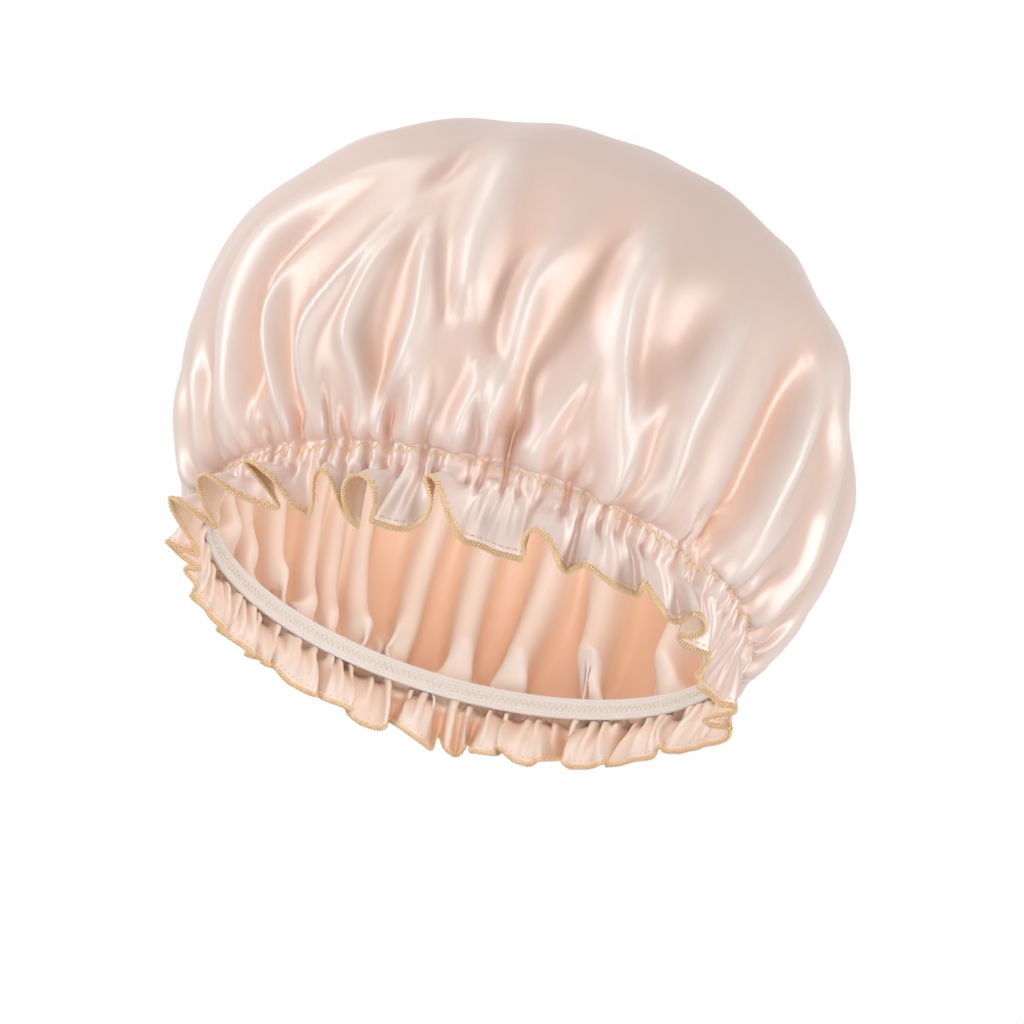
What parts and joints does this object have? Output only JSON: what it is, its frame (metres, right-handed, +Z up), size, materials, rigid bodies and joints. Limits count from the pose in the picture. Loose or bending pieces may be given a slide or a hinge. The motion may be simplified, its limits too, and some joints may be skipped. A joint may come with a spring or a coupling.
{
  "type": "satin hair bonnet",
  "caption": "Puffed satin hair cap gathered by a flat elastic sewn inside its opening, with a free ruffled brim and an overlocked edge; worn over the hair to cover and protect it.",
  "frame": {"origin": "on the table, under the middle of the cap: bottom centre of the bounding box; the elastic's axis stands 1.1 mm towards +X and 4.6 mm towards +Y of it, because the crown lies over to the front", "axes": "+Z up through the crown, opposite to the head opening, which faces -Z; -Y is the side the picture was taken from, +X is its right"},
  "size_m": [0.2298, 0.2314, 0.1728],
  "materials": {
    "satin": "pale peach satin weave, soft sheen",
    "elastic": "off-white woven elastic, matte",
    "gold_thread": "golden polyester sewing thread"
  },
  "bodies": {
    "root": {"crown_cloth": "satin", "ruffle_cloth": "satin", "elastic_band": "elastic", "needle_zigzag": "gold_thread", "bobbin_zigzag": "gold_thread", "lap_tack_upper": "gold_thread", "lap_tack_lower": "gold_thread", "overlock_hem": "gold_thread", "hem_needle_thread": "gold_thread"}
  },
  "joints": []
}
